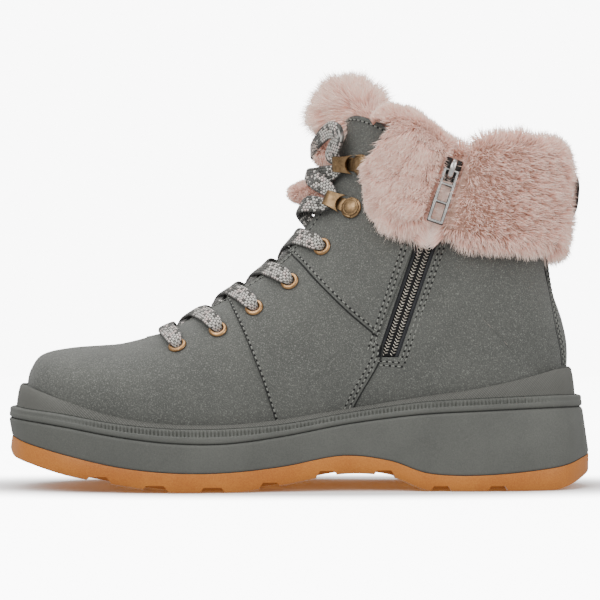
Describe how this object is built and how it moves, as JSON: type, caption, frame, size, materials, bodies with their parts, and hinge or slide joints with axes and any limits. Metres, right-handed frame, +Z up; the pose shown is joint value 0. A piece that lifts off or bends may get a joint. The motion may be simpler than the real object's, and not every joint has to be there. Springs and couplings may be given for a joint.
{
  "type": "snow boot",
  "caption": "Right ankle snow boot with a fur cuff, speed lacing and a medial zip on a grey platform with a lugged gum outsole.",
  "frame": {"origin": "on the floor under the middle of the boot's box", "axes": "+X from the toe to the heel, +Y to the wearer's outer side, +Z up"},
  "size_m": [0.276, 0.1037, 0.1932],
  "materials": {
    "gum_rubber": "matte gum rubber",
    "grey_rubber": "matte moulded rubber",
    "nubuck": "grey green nubuck with a fine nap",
    "felt": "felt footbed",
    "fur": "soft pink beige pile fur",
    "lace_cord": "flat woven lace, grey with pink and white flecks",
    "eyelet_metal": "copper toned, polished",
    "hook_metal": "antique brass",
    "zip_fabric": "woven tape",
    "zip_coil": "moulded coil",
    "nickel": "polished nickel",
    "webbing": "woven webbing"
  },
  "bodies": {
    "boot": {"outsole": "gum_rubber", "midsole": "grey_rubber", "welt": "grey_rubber", "rand": "grey_rubber", "insole": "felt", "upper": "nubuck", "tongue": "nubuck", "tongue_fur": "fur", "fur_tuft": "fur", "fur_lobe": "fur", "fur_cuff": "fur", "eyelet_medial_1": "eyelet_metal", "eyelet_medial_2": "eyelet_metal", "eyelet_medial_3": "eyelet_metal", "eyelet_medial_4": "eyelet_metal", "eyelet_medial_5": "eyelet_metal", "hook_medial_1": "hook_metal", "hook_medial_2": "hook_metal", "eyelet_lateral_1": "eyelet_metal", "eyelet_lateral_2": "eyelet_metal", "eyelet_lateral_3": "eyelet_metal", "eyelet_lateral_4": "eyelet_metal", "eyelet_lateral_5": "eyelet_metal", "hook_lateral_1": "hook_metal", "hook_lateral_2": "hook_metal", "lace_1": "lace_cord", "lace_2": "lace_cord", "lace_3": "lace_cord", "lace_4": "lace_cord", "lace_5": "lace_cord", "lace_6": "lace_cord", "lace_7": "lace_cord", "lace_8": "lace_cord", "zip_tape": "zip_fabric", "zip_teeth": "zip_coil", "zip_slider": "nickel", "heel_loop": "webbing"},
    "pull_tab": {"zip_pull": "nickel"}
  },
  "joints": [
    {"name": "pull_tab_swing", "type": "hinge", "parent": "boot", "child": "pull_tab", "pos_m": [0.07021, -0.03915, 0.14875], "axis": [-0.9468, -0.0243, 0.3209], "range_deg": [0, 130]}
  ]
}
